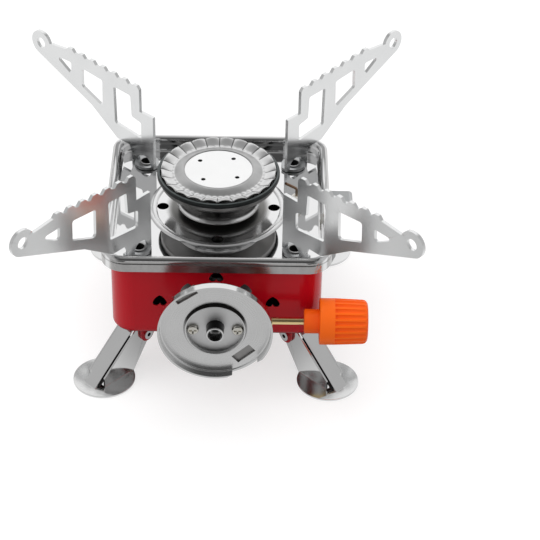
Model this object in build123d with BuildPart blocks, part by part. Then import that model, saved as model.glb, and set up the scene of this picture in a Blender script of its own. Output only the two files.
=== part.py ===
from build123d import *
import os
from math import atan2, cos, hypot, radians, sin, sqrt

# A folding camp stove, in millimetres. +Z is up and Z 0 is the floor. The burner stands on the Z axis,
# the gas cartridge goes on at -Y, and the control knob turns about a line along X.

# Body shell
body_width = 87.0
body_bottom = 21.5
body_corner = 9.5
body_edge_round = 2.5
shell_wall = 0.8
seat_flange = 5.0
air_opening = 44.0

# Heart-shaped vents in the front of the shell
heart_count = 5
heart_pitch = 11.6
heart_step = 6.3
heart_width = 6.0
heart_height = 5.4
heart_bulge = 0.36
heart_top_clearance = 0.3

# Drip tray
tray_width = 94.0
tray_corner = 10.0
tray_sheet = 0.6
tray_floor = 56.0
tray_depth = 6.5
rim_width = 3.3
rim_skirt_groove = 0.3
groove_share = 0.6
wall_step = 0.6
rim_round = 1.6
floor_round = 1.0
floor_edge = 4.0
floor_lap = 1.0
bead_radius = 27.75
bead_width = 4.0
bead_height = 0.8
drain_hole = 4.9
drain_circle = 23.5

# Pot supports and their rivets
pivot_place = 32.0
blade_sheet = 1.5
blade_offset = 0.86
blade_top = 99.0
blade_inner = 5.8
notch_edge = 2.1
notch_share = 0.62
tooth_count = 7
tooth_first = 4.6
tooth_pitch = 6.55
tooth_top = 2.2
tooth_slant = 1.5
tooth_depth = 1.6
tooth_rise = 0.068
eye_reach = 62.5
eye_radius = 5.7
eye_hole = 5.0
neck_rise = 0.3
kink_reach = 31.5
kink_share = 0.415
sill_rise = 7.1
sill_reach = 16.2
heel_reach = 8.8
heel_foot = 7.4
heel_rise = 3.7
arch_radius = 3.9
tab_sheet = 1.2
tab_radius = 5.2
tab_gap = 0.3
rivet_hole = 4.6
rivet_wall = 0.4
rivet_flange = 3.05
rivet_flange_thickness = 0.4
washer_radius = 4.2
washer_thickness = 0.8
running_fit = 0.05
flange_gap = 0.1

# Windows in a support's blade: the round of the corners, then each corner's place as a share of the
# blade's reach and of its rise
windows = (
    (1.0, ((0.12, 0.759), (0.282, 0.768), (0.277, 0.344), (0.024, 0.304), (0.021, 0.494), (0.112, 0.52))),
    (1.2, ((0.39, 0.776), (0.592, 0.799), (0.597, 0.583), (0.397, 0.461))),
    (1.0, ((0.696, 0.808), (0.858, 0.799), (0.701, 0.66))),
)

# Burner
base_radius = 17.75
base_flange = 1.0
neck_radius = 8.2
neck_height = 63.2
burner_bore = 5.0
spigot_radius = 6.6
spigot_length = 5.5
locknut_radius = 9.5
locknut_thickness = 2.5
cup_sheet = 0.8
cup_floor_radius = 10.0
cup_radius = 24.6
cup_round = 2.0
cup_shoulder = 1.2
cup_crease = 0.4
ring_radius = 25.7
ring_inner = 23.7
ring_bottom = 72.4
ring_top = 75.3
ring_round = 0.4
pleat_count = 24
pleat_inner = 17.2
pleat_outer = 23.3
pleat_valley = 72.6
pleat_sheet = 0.5
pleat_size = 1.2
pleat_lift = 0.3
pleat_start = 0.1
pleat_end = 0.88
valley_inner = 15.0
port_length = 3.0
port_width = 1.4
crimp_count = 4
crimp_reach = 24.1
crimp_width = 3.0
crimp_thickness = 0.6
crimp_overlap = 2.0
cap_radius = 14.2
cap_sheet = 0.7
cap_gap = 0.4
cap_crease = 0.3
cap_round = 0.6
cap_hole = 1.9
cap_hole_circle = 10.0
cap_hole_turn = 52.0

# Gas line, valve and connector
gas_height = 39.75
tube_radius = 5.5
tube_wall = 0.8
tube_mouth = 40.0
air_hole = 4.0
air_hole_place = 34.0
jet_radius = 4.0
jet_tip_radius = 2.4
jet_tip_length = 3.0
jet_bore = 0.5
jet_reach = 3.0
panel_hole_clearance = 1.0
dish_place = 62.5
dish_radius = 23.25
dish_sheet = 0.8
dish_lip = 3.5
dish_recess = 0.7
dish_recess_radius = 12.3
recess_slope = 0.7
dish_inner_round = 0.7
dish_outer_round = 1.5
dish_chord = 21.6
dish_chord_angle = -56.0
upper_slot_place = 0.855
upper_slot_angle = 126.0
upper_slot_width = 3.1
upper_slot_length = 10.0
lower_slot_place = 0.74
lower_slot_angle = -48.0
lower_slot_width = 4.2
lower_slot_length = 9.4
hub_radius = 3.6
hub_bore = 3.0
hub_reach = 4.6
hub_depth = 5.3
hub_round = 0.4
hub_shank = 3.0
hub_passage = 0.8
seal_thickness = 1.5
seal_radius = 2.4
seal_hole = 1.2
valve_flange = 12.2
valve_flange_thickness = 2.0
valve_barrel = 6.5
valve_plate_width = 24.0
valve_plate_height = 9.0
valve_plate_drop = 1.8
valve_plate_thickness = 1.5
valve_plate_corner = 2.0
blind_end = 1.0
valve_screw_spread = 18.0
boss_radius = 5.0
boss_reach = 15.0
dish_screw_spread = 18.0
dish_screw_drop = 0.75
screw_head = 2.4
screw_head_height = 1.5
screw_dome = 0.6
screw_shank = 1.4
screw_fit = 0.1
slot_cross = 0.7
slot_cross_length = 3.0
slot_cross_depth = 0.8

# Spindle and control knob
spindle_place = 51.5
spindle_height = 35.5
spindle_radius = 1.5
needle_start = 2.0
needle_end = 8.0
needle_cone = 2.4
packing_radius = 3.3
packing_length = 1.5
nut_flats = 10.5
nut_length = 6.0
knob_start = 36.0
knob_neck_end = 42.3
knob_collar_end = 48.5
knob_end = 62.0
knob_neck = 5.0
knob_collar = 9.55
knob_tip = 9.0
knob_round = 2.2
knob_edge = 0.5
knob_grooves = 22
knob_groove_radius = 1.0
knob_groove_place = 9.5
knob_bore_end = 52.0

# Igniter
lever_place = 12.0
lever_width = 8.0
lever_top = 54.2
lever_sheet = 1.2
lever_reach = 57.5
lever_lip = 4.0
lever_inner = 30.0
lever_travel = 6.0
lever_clearance = 0.4
lever_bend = 0.6
plunger_place = 34.5
plunger_radius = 2.5
plunger_bottom = 38.0
plunger_space = 1.0
unit_width = 12.0
unit_depth = 11.0
unit_bottom = 25.0
unit_top = 44.0
unit_round = 0.8
bracket_sheet = 1.0
bracket_width = 30.0
bracket_height = 7.0
bracket_shelf = 13.0
piezo_screw_spread = 22.0
piezo_screw_place = 9.0
piezo_screw_height = 27.8
electrode_x = 33.0
electrode_y = 2.0
insulator_radius = 2.2
insulator_bottom = 49.0
insulator_top = 61.0
insulator_collar = 3.2
insulator_collar_height = 1.0
insulator_round = 0.6
insulator_floor = 1.0
electrode_radius = 0.6
electrode_top = 64.5
electrode_tip = (28.2, -0.8, 69.0)
electrode_bend = 2.5
lead_radius = 1.0
lead_height = 30.0
lead_swing = 6.0
lead_rise = 10.0
lead_return = 4.0
lead_bend = 4.0

# Legs
leg_hinge_reach = 47.0
leg_hinge_height = 16.8
leg_tip_reach = 75.6
leg_top_reach = 52.6
leg_top_height = 20.6
leg_sheet = 0.8
leg_web = 6.5
leg_slit = 0.9
leg_slit_end = 70.5
leg_bridge = 3.0
foot_reach = 66.5
foot_radius = 13.0
leg_eye = 3.8
ear_radius = 3.4
ear_sheet = 1.0
ear_gap = 0.25
leg_rivet_radius = 1.5
leg_rivet_hole = 0.9
leg_rivet_head = 2.2
leg_rivet_head_height = 0.8

# Each corner's direction from the burner, the side that its support's blade stands on (+1 is to the left
# of a line from the burner through the corner), and how far its support is turned from that line
corners = {
    "front_right": (-45.0, -1, -0.2),
    "back_right": (45.0, -1, 1.5),
    "back_left": (135.0, 1, 3.9),
    "front_left": (225.0, 1, 3.5),
}

# Sizes that follow from those above
body_half = body_width / 2
body_top = tray_floor - tray_sheet
body_floor = body_bottom + shell_wall
tray_half = tray_width / 2
tray_rim = tray_floor + tray_depth
wall_half = tray_half - rim_width
tab_bottom = tray_floor + tab_gap
tab_top = tab_bottom + tab_sheet
rivet_radius = rivet_hole / 2 + rivet_wall
washer_bottom = body_top - washer_thickness
eye_height = blade_top - eye_radius
blade_rise = blade_top - tab_bottom
notch_height = tab_bottom + notch_share * blade_rise
kink_height = tab_bottom + kink_share * blade_rise
sill_height = tab_bottom + sill_rise
pleat_top = ring_top + pleat_lift
dish_back = dish_place - dish_recess - dish_sheet
valve_back = body_half + valve_plate_thickness
unit_inner = body_half - shell_wall - bracket_sheet - unit_depth
lever_bottom = lever_top - lever_sheet
leg_half = leg_web / 2 + leg_slit + leg_sheet
leg_slope = atan2(leg_top_height, leg_tip_reach - leg_top_reach)

front_panel = Plane(origin=(0, -body_half, 0), x_dir=(1, 0, 0), z_dir=(0, -1, 0))
right_panel = Plane(origin=(body_half, 0, 0), x_dir=(0, 1, 0), z_dir=(1, 0, 0))
gas_axis = Axis((0, 0, gas_height), (0, -1, 0))
gas_section = Plane(origin=(0, 0, gas_height), x_dir=(1, 0, 0), z_dir=(0, 0, -1))
spindle_axis = Axis((0, -spindle_place, spindle_height), (1, 0, 0))
spindle_section = Plane(origin=(0, -spindle_place, spindle_height), x_dir=(1, 0, 0), z_dir=(0, -1, 0))


os.makedirs("parts", exist_ok=True)


def save(piece, node):
    """Label a finished piece and write it to its own file."""
    piece.part.label = node
    export_step(piece.part, f"parts/{node}.step")


def outward(angle):
    """The level direction that points away from the burner at an angle."""
    return Vector(cos(radians(angle)), sin(radians(angle)), 0)


def upright_plane(origin, direction):
    """A standing plane: its x runs along a level direction and its y runs up."""
    return Plane(origin=origin, x_dir=direction, z_dir=direction.cross(Vector(0, 0, 1)))


def gas_plane(distance):
    """A plane across the gas line, facing the cartridge, at a distance in front of the burner."""
    return Plane(origin=(0, -distance, gas_height), x_dir=(1, 0, 0), z_dir=(0, -1, 0))


def across_plane(x):
    """A plane across the spindle, facing the knob."""
    return Plane(origin=(x, -spindle_place, spindle_height), x_dir=(0, 1, 0), z_dir=(1, 0, 0))


# Body shell: a drawn pan with a seat for the tray, vents, openings and the ears for the legs
with BuildPart() as body_shell:
    with BuildSketch(Plane.XY.offset(body_bottom)):
        RectangleRounded(body_width, body_width, body_corner)
    extrude(amount=body_top - body_bottom)
    fillet(body_shell.faces().sort_by(Axis.Z)[0].edges(), body_edge_round)
    offset(amount=-shell_wall, openings=body_shell.faces().sort_by(Axis.Z)[-1])
    with BuildSketch(Plane.XY.offset(body_top - shell_wall)):
        RectangleRounded(body_width, body_width, body_corner)
        seat_opening = body_width - 2 * (shell_wall + seat_flange)
        RectangleRounded(seat_opening, seat_opening, body_corner - shell_wall, mode=Mode.SUBTRACT)
    extrude(amount=shell_wall)
    with BuildSketch(Plane.XY.offset(body_bottom)):
        Circle(air_opening / 2)
    extrude(amount=shell_wall, mode=Mode.SUBTRACT)
    with BuildSketch(front_panel):
        lobe = heart_width / 4
        bulge = heart_width * heart_bulge
        for step in range(heart_count):
            place = step - (heart_count - 1) / 2
            middle = place * heart_pitch
            tip = body_top - shell_wall - heart_top_clearance - abs(place) * heart_step
            lobe_height = tip - heart_height + lobe
            dome = (middle, tip)
            with BuildLine():
                left_lobe = CenterArc((middle - lobe, lobe_height), lobe, 180, 180)
                right_lobe = CenterArc((middle + lobe, lobe_height), lobe, 180, 180)
                ThreePointArc(left_lobe @ 0, (middle - bulge, tip - heart_height * heart_bulge), dome)
                ThreePointArc(right_lobe @ 1, (middle + bulge, tip - heart_height * heart_bulge), dome)
            make_face()
        with Locations((0, gas_height)):
            Circle(jet_radius + panel_hole_clearance)
        with Locations((0, gas_height - valve_plate_drop)):
            with GridLocations(valve_screw_spread, 0, 2, 1):
                Circle(screw_shank + screw_fit)
    extrude(amount=-2 * shell_wall, mode=Mode.SUBTRACT)
    with BuildSketch(right_panel):
        slot_bottom = lever_bottom - lever_travel - lever_clearance
        slot_top = body_top - shell_wall
        with Locations((lever_place, (slot_bottom + slot_top) / 2)):
            Rectangle(lever_width + 2 * lever_clearance, slot_top - slot_bottom)
        with Locations((piezo_screw_place, piezo_screw_height)):
            with GridLocations(piezo_screw_spread, 0, 2, 1):
                Circle(screw_shank + screw_fit)
    extrude(amount=-2 * shell_wall, mode=Mode.SUBTRACT)
    for angle, hand, turn in corners.values():
        for side in (-1, 1):
            hinge = outward(angle) * leg_hinge_reach
            across = outward(angle + 90) * side
            ear_face = hinge + across * (leg_half + ear_gap + ear_sheet / 2)
            with BuildSketch(upright_plane(ear_face, outward(angle))):
                ear_height = body_floor - leg_hinge_height
                with Locations((0, leg_hinge_height + ear_height / 2)):
                    Rectangle(2 * ear_radius, ear_height)
                with Locations((0, leg_hinge_height)):
                    Circle(ear_radius)
                    Circle(leg_rivet_radius + running_fit, mode=Mode.SUBTRACT)
            extrude(amount=ear_sheet / 2, both=True)
save(body_shell, "body_shell")

# Drip tray: one quarter of the rolled rim is swept round its corner and mirrored, then the floor joins it
with BuildPart() as drip_tray:
    wall_corner = tray_corner - rim_width
    with BuildLine():
        FilletPolyline((wall_half, 0), (wall_half, wall_half), (0, wall_half), radius=wall_corner)
    with BuildSketch(Plane.XZ) as rim_section:
        step_low = tray_floor + tray_depth / 2
        inner_low = wall_half - wall_step
        roll_under = rim_width / 2 - tray_sheet
        groove_height = tray_floor + tray_depth * groove_share
        inner_rounds = [0, rim_round, 0, 0, roll_under, roll_under]
        skirt_rounds = [0, 0, 0, 0, 0, 0, 0, 0]
        outer_rounds = [rim_round, rim_round, 0, 0, floor_round, 0]
        with BuildLine():
            FilletPolyline(
                (inner_low - floor_edge, body_top),
                (inner_low + tray_sheet, body_top),
                (inner_low + tray_sheet, step_low),
                (wall_half + tray_sheet, step_low + wall_step),
                (wall_half + tray_sheet, tray_rim - tray_sheet),
                (tray_half - tray_sheet, tray_rim - tray_sheet),
                (tray_half - tray_sheet, groove_height + rim_skirt_groove),
                (tray_half - tray_sheet - rim_skirt_groove, groove_height),
                (tray_half - tray_sheet, groove_height - rim_skirt_groove),
                (tray_half - tray_sheet, tray_floor),
                (tray_half, tray_floor),
                (tray_half, groove_height - rim_skirt_groove),
                (tray_half - rim_skirt_groove, groove_height),
                (tray_half, groove_height + rim_skirt_groove),
                (tray_half, tray_rim),
                (wall_half, tray_rim),
                (wall_half, step_low + wall_step),
                (inner_low, step_low),
                (inner_low, tray_floor),
                (inner_low - floor_edge, tray_floor),
                radius=inner_rounds + skirt_rounds + outer_rounds,
                close=True,
            )
        make_face()
    sweep()
    mirror(about=Plane.YZ)
    mirror(about=Plane.XZ)
    with BuildSketch(Plane.XY.offset(body_top)):
        floor_width = 2 * (inner_low - floor_edge + floor_lap)
        floor_corner = wall_corner - wall_step - floor_edge + 2 * floor_lap
        RectangleRounded(floor_width, floor_width, floor_corner)
    extrude(amount=tray_sheet)
    with BuildSketch(Plane.XZ):
        with BuildLine():
            bead_start = (bead_radius - bead_width / 2, tray_floor - tray_sheet / 2)
            bead_end = (bead_radius + bead_width / 2, tray_floor - tray_sheet / 2)
            ThreePointArc(bead_start, (bead_radius, tray_floor + bead_height), bead_end)
            Line(bead_end, bead_start)
        make_face()
    revolve(axis=Axis.Z)
    with BuildSketch(Plane.XY.offset(body_top)):
        Circle(spigot_radius + screw_fit)
        with PolarLocations(drain_circle, 4):
            Circle(drain_hole / 2)
        with GridLocations(2 * pivot_place, 2 * pivot_place, 2, 2):
            Circle(rivet_radius)
        with Locations((electrode_x, electrode_y)):
            Circle(insulator_radius + screw_fit)
    extrude(amount=tray_depth, mode=Mode.SUBTRACT)
save(drip_tray, "drip_tray")


def tooth_line(reach):
    """The height of the tooth tops at a distance from the rivet: they climb outward to the eye's top."""
    return blade_top - tooth_rise * (eye_reach - reach)


def pot_support(angle, hand, turn):
    """A toothed blade on a level tab, which turns about its corner's rivet and arches over it."""
    pivot = outward(angle) * pivot_place * sqrt(2)
    direction = outward(angle + turn)
    left = Vector(-direction.Y, direction.X, 0)
    teeth = []
    for tooth in range(tooth_count):
        middle = tooth_first + tooth * tooth_pitch
        crest = tooth_line(middle)
        teeth.append((middle - tooth_top / 2 - tooth_slant, crest - tooth_depth))
        teeth.append((middle - tooth_top / 2, crest))
        teeth.append((middle + tooth_top / 2, crest))
        teeth.append((middle + tooth_top / 2 + tooth_slant, crest - tooth_depth))
    lower_slope = atan2(eye_height - eye_radius - kink_height, eye_reach - kink_reach)
    eye_bottom = (eye_reach + eye_radius * sin(lower_slope), eye_height - eye_radius * cos(lower_slope))
    with BuildPart() as support:
        with BuildSketch(upright_plane(pivot + left * hand * blade_offset, direction)):
            with BuildLine():
                Polyline(
                    (-blade_inner, tab_bottom),
                    (-blade_inner, notch_height),
                    (notch_edge, notch_height),
                    (notch_edge, tooth_line(tooth_first) - tooth_depth),
                    *teeth[1:],
                    (eye_reach - eye_radius, eye_height + neck_rise * eye_radius),
                    (eye_reach, eye_height),
                    eye_bottom,
                    (kink_reach, kink_height),
                    (sill_reach, sill_height),
                    (heel_reach, sill_height),
                    (heel_foot, tab_bottom + heel_rise),
                    (heel_foot, tab_bottom),
                    close=True,
                )
            make_face()
            with Locations((eye_reach, eye_height)):
                Circle(eye_radius)
                Circle(eye_hole / 2, mode=Mode.SUBTRACT)
            with Locations((0, tab_top)):
                Circle(arch_radius, mode=Mode.SUBTRACT)
            for window_round, shares in windows:
                window = []
                for reach_share, rise_share in shares:
                    window.append((reach_share * eye_reach, tab_bottom + rise_share * blade_rise))
                with BuildLine():
                    FilletPolyline(*window, radius=window_round, close=True)
                make_face(mode=Mode.SUBTRACT)
        extrude(amount=blade_sheet / 2, both=True)
        with BuildSketch(Plane(origin=pivot + Vector(0, 0, tab_bottom), x_dir=direction, z_dir=(0, 0, 1))):
            tab_side = blade_offset + blade_sheet / 2
            with Locations(((heel_foot - blade_inner) / 2, 0)):
                Rectangle(heel_foot + blade_inner, 2 * tab_side)
            Circle(tab_radius)
            Circle(rivet_radius + running_fit, mode=Mode.SUBTRACT)
        extrude(amount=tab_sheet)
    return support


for corner, (angle, hand, turn) in corners.items():
    save(pot_support(angle, hand, turn), f"support_{corner}")

# Hollow rivets that the supports turn on, with a washer under the tray for each
with BuildPart() as pivot_rivets:
    rivet_bottom = washer_bottom - rivet_flange_thickness
    rivet_top = tab_top + flange_gap
    with BuildSketch(Plane.XY.offset(rivet_bottom)):
        with GridLocations(2 * pivot_place, 2 * pivot_place, 2, 2):
            Circle(rivet_radius)
    extrude(amount=rivet_top - rivet_bottom)
    for flange_bottom in (rivet_bottom, rivet_top):
        with BuildSketch(Plane.XY.offset(flange_bottom)):
            with GridLocations(2 * pivot_place, 2 * pivot_place, 2, 2):
                Circle(rivet_flange)
        extrude(amount=rivet_flange_thickness)
    with BuildSketch(Plane.XY.offset(rivet_bottom)):
        with GridLocations(2 * pivot_place, 2 * pivot_place, 2, 2):
            Circle(rivet_hole / 2)
    extrude(amount=rivet_top + rivet_flange_thickness - rivet_bottom, mode=Mode.SUBTRACT)
save(pivot_rivets, "pivot_rivets")

with BuildPart() as pivot_washers:
    with BuildSketch(Plane.XY.offset(washer_bottom)):
        with GridLocations(2 * pivot_place, 2 * pivot_place, 2, 2):
            Circle(washer_radius)
            Circle(rivet_radius, mode=Mode.SUBTRACT)
    extrude(amount=washer_thickness)
save(pivot_washers, "pivot_washers")

# Burner: base, nut, cup, dark ring, pleated flame ring and cap, all turned about the Z axis
with BuildPart() as burner_base:
    with BuildSketch(Plane.XZ):
        with BuildLine():
            spigot_bottom = tray_floor - spigot_length
            Polyline(
                (burner_bore, spigot_bottom),
                (spigot_radius, spigot_bottom),
                (spigot_radius, tray_floor),
                (base_radius, tray_floor),
                (base_radius, tray_floor + base_flange),
            )
            cone_foot = (base_radius - base_flange, tray_floor + base_flange)
            neck_foot = (neck_radius, neck_height - base_flange)
            Line((base_radius, tray_floor + base_flange), cone_foot)
            SagittaArc(cone_foot, neck_foot, base_flange)
            Polyline(neck_foot, (neck_radius, neck_height), (burner_bore, neck_height))
            Line((burner_bore, neck_height), (burner_bore, spigot_bottom))
        make_face()
    revolve(axis=Axis.Z)
save(burner_base, "burner_base")

with BuildPart() as burner_locknut:
    with BuildSketch(Plane.XY.offset(body_top - locknut_thickness)):
        RegularPolygon(locknut_radius, 6)
        Circle(spigot_radius + running_fit, mode=Mode.SUBTRACT)
    extrude(amount=locknut_thickness)
save(burner_locknut, "burner_locknut")

with BuildPart() as burner_cup:
    with BuildSketch(Plane.XZ):
        cup_floor_top = neck_height + cup_sheet
        cup_wall = ring_bottom - 2 * cup_sheet
        with BuildLine():
            FilletPolyline(
                (burner_bore, neck_height),
                (cup_floor_radius, neck_height),
                (cup_radius, cup_wall - cup_sheet),
                (cup_radius, ring_bottom),
                (cup_radius - cup_sheet, ring_bottom),
                (cup_radius - cup_sheet, cup_wall),
                (cup_floor_radius - cup_sheet / 2, cup_floor_top),
                (burner_bore, cup_floor_top),
                radius=[0, cup_round, cup_shoulder, 0, 0, cup_crease, cup_shoulder, 0],
                close=True,
            )
        make_face()
    revolve(axis=Axis.Z)
save(burner_cup, "burner_cup")

with BuildPart() as burner_ring:
    with BuildSketch(Plane.XZ):
        with Locations(((ring_inner + ring_radius) / 2, (ring_bottom + ring_top) / 2)):
            RectangleRounded(ring_radius - ring_inner, ring_top - ring_bottom, ring_round)
    revolve(axis=Axis.Z)
save(burner_ring, "burner_ring")

with BuildPart() as flame_ring:
    with BuildSketch(Plane.XZ):
        with BuildLine():
            Polyline(
                (valley_inner, pleat_valley - pleat_sheet),
                (pleat_inner, pleat_valley - pleat_sheet),
                (pleat_outer, pleat_top - pleat_sheet),
                (pleat_outer, pleat_top),
                (pleat_inner, pleat_valley),
                (valley_inner, pleat_valley),
                close=True,
            )
        make_face()
    revolve(axis=Axis.Z)
    pleat_rise = atan2(pleat_top - pleat_valley, pleat_outer - pleat_inner)
    pleat_length = hypot(pleat_top - pleat_valley, pleat_outer - pleat_inner)
    for pleat in range(pleat_count):
        spoke = outward(360 / pleat_count * pleat)
        along = spoke * cos(pleat_rise) + Vector(0, 0, sin(pleat_rise))
        foot = spoke * pleat_inner + Vector(0, 0, pleat_valley - pleat_sheet / 2)
        with BuildSketch(Plane(origin=foot + along * pleat_length * pleat_start, z_dir=along)):
            Circle(pleat_size / 2)
        with BuildSketch(Plane(origin=foot + along * pleat_length * pleat_end, z_dir=along)):
            Circle(pleat_size)
        loft()
    with BuildSketch(Plane.XY.offset(ring_top)):
        with PolarLocations((pleat_outer + crimp_reach) / 2, crimp_count, start_angle=180 / crimp_count):
            Rectangle(crimp_reach - pleat_outer + crimp_overlap, crimp_width)
    extrude(amount=crimp_thickness)
    with BuildSketch(Plane.XY.offset(pleat_valley)):
        with PolarLocations(pleat_outer, pleat_count, start_angle=180 / pleat_count):
            Rectangle(port_length, port_width)
    extrude(amount=pleat_top - pleat_valley, mode=Mode.SUBTRACT)
save(flame_ring, "flame_ring")

with BuildPart() as burner_cap:
    with BuildSketch(Plane.XZ):
        with BuildLine():
            skirt_outer = pleat_inner - cap_gap
            FilletPolyline(
                (0, ring_top - cap_sheet),
                (cap_radius - cap_crease, ring_top - cap_sheet),
                (skirt_outer - cap_sheet, pleat_valley),
                (skirt_outer, pleat_valley),
                (cap_radius, ring_top),
                (0, ring_top),
                radius=[0, cap_crease, 0, 0, cap_round, 0],
                close=True,
            )
        make_face()
    revolve(axis=Axis.Z)
    with BuildSketch(Plane.XY.offset(ring_top - cap_sheet)):
        with PolarLocations(cap_hole_circle, 4, start_angle=cap_hole_turn):
            Circle(cap_hole / 2)
    extrude(amount=cap_sheet, mode=Mode.SUBTRACT)
save(burner_cap, "burner_cap")

# Mixing tube: level from the jet, then round an elbow up to the burner base
with BuildPart() as mixing_tube:
    elbow = tray_floor - spigot_length - gas_height
    with BuildLine() as tube_path:
        Line((0, -tube_mouth, gas_height), (0, -elbow, gas_height))
        with BuildLine(Plane(origin=(0, 0, 0), x_dir=(0, 1, 0), z_dir=(1, 0, 0))):
            CenterArc((-elbow, gas_height + elbow), elbow, -90, 90)
    with BuildSketch(gas_plane(tube_mouth)):
        Circle(tube_radius)
        Circle(tube_radius - tube_wall, mode=Mode.SUBTRACT)
    sweep(path=tube_path.wires()[0])
    with BuildSketch(Plane.XY.offset(gas_height)):
        with Locations((0, -air_hole_place)):
            Circle(air_hole / 2)
    extrude(amount=tube_radius, both=True, mode=Mode.SUBTRACT)
    with BuildSketch(Plane.YZ):
        with Locations((-air_hole_place, gas_height)):
            Circle(air_hole / 2)
    extrude(amount=tube_radius, both=True, mode=Mode.SUBTRACT)
save(mixing_tube, "mixing_tube")

with BuildPart() as gas_jet:
    with BuildSketch(gas_section):
        jet_end = tube_mouth - jet_reach
        with BuildLine():
            Polyline(
                (jet_bore, jet_end),
                (jet_tip_radius, jet_end),
                (jet_radius, jet_end + jet_tip_length),
                (jet_radius, valve_back),
                (jet_bore, valve_back),
                close=True,
            )
        make_face()
    revolve(axis=gas_axis)
save(gas_jet, "gas_jet")

# Valve body: flange for the dish, barrel, plate on the shell and the boss that takes the spindle
with BuildPart() as valve_body:
    barrel_front = dish_back - valve_flange_thickness
    with BuildSketch(gas_plane(barrel_front)):
        Circle(valve_flange)
    extrude(amount=valve_flange_thickness)
    with BuildSketch(gas_plane(valve_back)):
        Circle(valve_barrel)
    extrude(amount=barrel_front - valve_back)
    with BuildSketch(gas_plane(body_half)):
        with Locations((0, -valve_plate_drop)):
            RectangleRounded(valve_plate_width, valve_plate_height, valve_plate_corner)
    extrude(amount=valve_plate_thickness)
    with BuildSketch(across_plane(0)):
        Circle(boss_radius)
    extrude(amount=boss_reach)
    with BuildSketch(across_plane(needle_start - blind_end)):
        Circle(spindle_radius + running_fit)
    extrude(amount=boss_reach, mode=Mode.SUBTRACT)
    with BuildSketch(gas_plane(dish_back)):
        Circle(hub_radius + running_fit)
    extrude(amount=-hub_shank, mode=Mode.SUBTRACT)
    with BuildSketch(gas_plane(dish_back)):
        Circle(hub_passage)
    extrude(amount=-(dish_back - spindle_place + blind_end), mode=Mode.SUBTRACT)
    with BuildSketch(gas_plane(body_half)):
        Circle(jet_radius + panel_hole_clearance)
    extrude(amount=valve_plate_thickness, mode=Mode.SUBTRACT)
    with BuildSketch(gas_plane(body_half)):
        with Locations((0, -valve_plate_drop)):
            with GridLocations(valve_screw_spread, 0, 2, 1):
                Circle(screw_shank + screw_fit)
    extrude(amount=valve_plate_thickness, mode=Mode.SUBTRACT)
    with BuildSketch(gas_plane(dish_back)):
        with Locations((0, -dish_screw_drop)):
            with GridLocations(dish_screw_spread, 0, 2, 1):
                Circle(screw_shank + screw_fit)
    extrude(amount=-valve_flange_thickness, mode=Mode.SUBTRACT)
save(valve_body, "valve_body")


def screws(seat, spread, length):
    """Two cross-head screws on a plane that faces the driver, with shanks of a length behind it."""
    with BuildPart() as pair:
        with BuildSketch(seat):
            with GridLocations(spread, 0, 2, 1):
                Circle(screw_head)
        extrude(amount=screw_head_height)
        fillet(pair.faces().sort_by(Axis(seat.origin, seat.z_dir))[-2:].edges(), screw_head_height * screw_dome)
        with BuildSketch(seat.offset(screw_head_height - slot_cross_depth)):
            with GridLocations(spread, 0, 2, 1):
                Rectangle(slot_cross_length, slot_cross)
                Rectangle(slot_cross, slot_cross_length)
        extrude(amount=slot_cross_depth, mode=Mode.SUBTRACT)
        with BuildSketch(seat):
            with GridLocations(spread, 0, 2, 1):
                Circle(screw_shank)
        extrude(amount=-length)
    return pair


valve_seat = Plane(
    origin=(0, -valve_back, gas_height - valve_plate_drop), x_dir=(1, 0, 0), z_dir=(0, -1, 0)
)
save(screws(valve_seat, valve_screw_spread, valve_plate_thickness + 2 * shell_wall), "valve_screws")
dish_face = dish_place - dish_recess
dish_seat = Plane(origin=(0, -dish_face, gas_height - dish_screw_drop), x_dir=(1, 0, 0), z_dir=(0, -1, 0))
save(screws(dish_seat, dish_screw_spread, dish_sheet + valve_flange_thickness), "dish_screws")
piezo_seat = Plane(
    origin=(body_half, piezo_screw_place, piezo_screw_height), x_dir=(0, 1, 0), z_dir=(1, 0, 0)
)
save(screws(piezo_seat, piezo_screw_spread, shell_wall + bracket_sheet + shell_wall), "piezo_screws")

# Connector dish: a drawn cup with a recessed middle, two slots and a flat cut in its lip
with BuildPart() as connector_dish:
    with BuildSketch(gas_section):
        with BuildLine():
            FilletPolyline(
                (hub_radius + screw_fit, dish_face),
                (dish_recess_radius - recess_slope / 2, dish_face),
                (dish_recess_radius + recess_slope / 2, dish_place),
                (dish_radius - dish_sheet, dish_place),
                (dish_radius - dish_sheet, dish_place + dish_lip),
                (dish_radius, dish_place + dish_lip),
                (dish_radius, dish_place - dish_sheet),
                (dish_recess_radius, dish_place - dish_sheet),
                (dish_recess_radius - recess_slope, dish_back),
                (hub_radius + screw_fit, dish_back),
                radius=[0, 0, 0, dish_inner_round, 0, 0, dish_outer_round, 0, 0, 0],
                close=True,
            )
        make_face()
    revolve(axis=gas_axis)
    with BuildSketch(gas_plane(dish_back)):
        with Locations((0, -dish_screw_drop)):
            with GridLocations(dish_screw_spread, 0, 2, 1):
                Circle(screw_shank + screw_fit)
        with PolarLocations(dish_radius * upper_slot_place, 1, start_angle=upper_slot_angle):
            Rectangle(upper_slot_width, upper_slot_length)
        with PolarLocations(dish_radius * lower_slot_place, 1, start_angle=lower_slot_angle):
            Rectangle(lower_slot_width, lower_slot_length)
    extrude(amount=dish_recess + dish_sheet + dish_lip, mode=Mode.SUBTRACT)
    with BuildSketch(gas_plane(dish_place + dish_sheet / 2)):
        with PolarLocations(dish_chord + dish_radius, 1, start_angle=dish_chord_angle):
            Rectangle(2 * dish_radius, 2 * dish_radius)
    extrude(amount=dish_lip, mode=Mode.SUBTRACT)
save(connector_dish, "connector_dish")

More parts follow.
